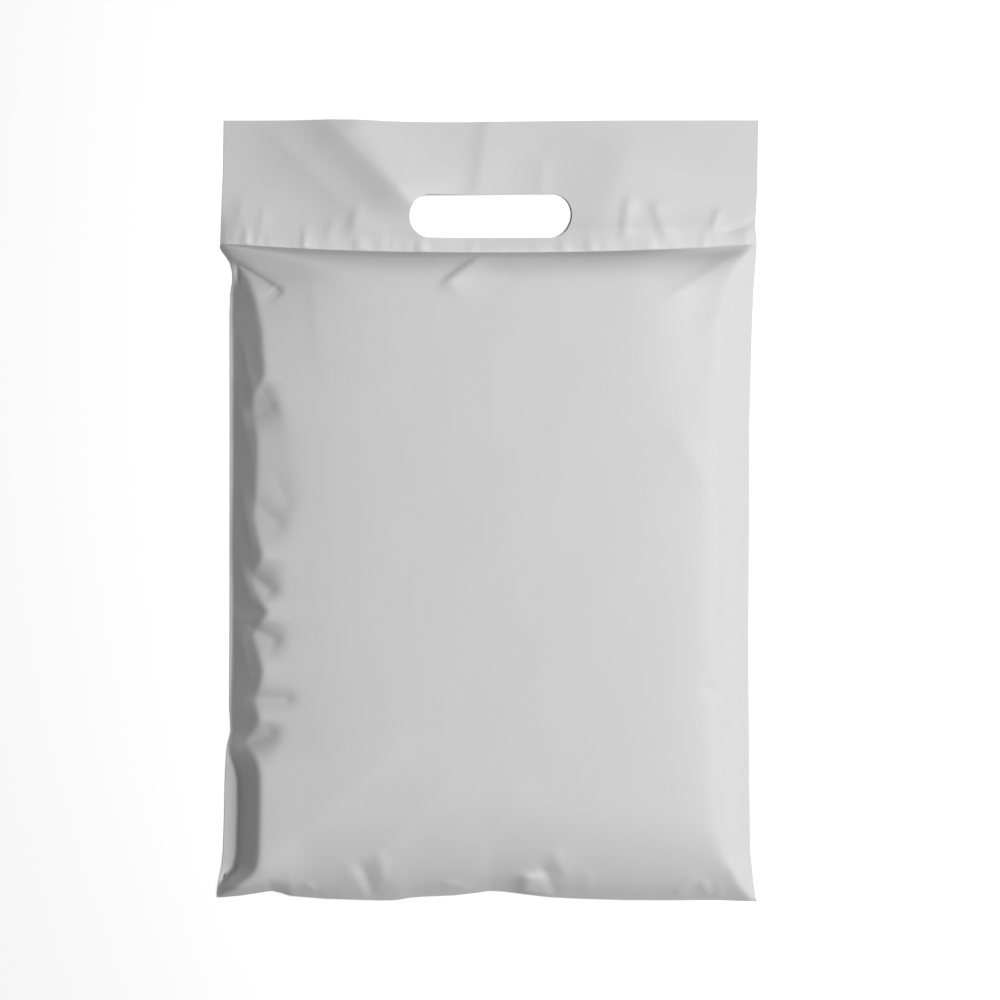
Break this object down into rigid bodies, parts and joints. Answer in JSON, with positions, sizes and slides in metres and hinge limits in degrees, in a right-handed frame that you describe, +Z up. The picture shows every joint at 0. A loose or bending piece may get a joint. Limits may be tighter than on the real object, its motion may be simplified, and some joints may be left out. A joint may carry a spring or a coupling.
{
  "type": "poly mailer bag",
  "caption": "Filled and sealed film mailing bag lying on its back, with a flat welded header above the pocket and a die-cut handle slot.",
  "frame": {"origin": "on the floor, under the middle of the bag's outline as it lies on its back", "axes": "+Z up, out of the front face; +Y towards the handle; +X towards the right-hand side seen from the front"},
  "size_m": [0.304, 0.438, 0.03],
  "materials": {
    "film": "satin silver-grey polyethylene film, opaque"
  },
  "bodies": {
    "root": {"mailer": "film"}
  },
  "joints": []
}
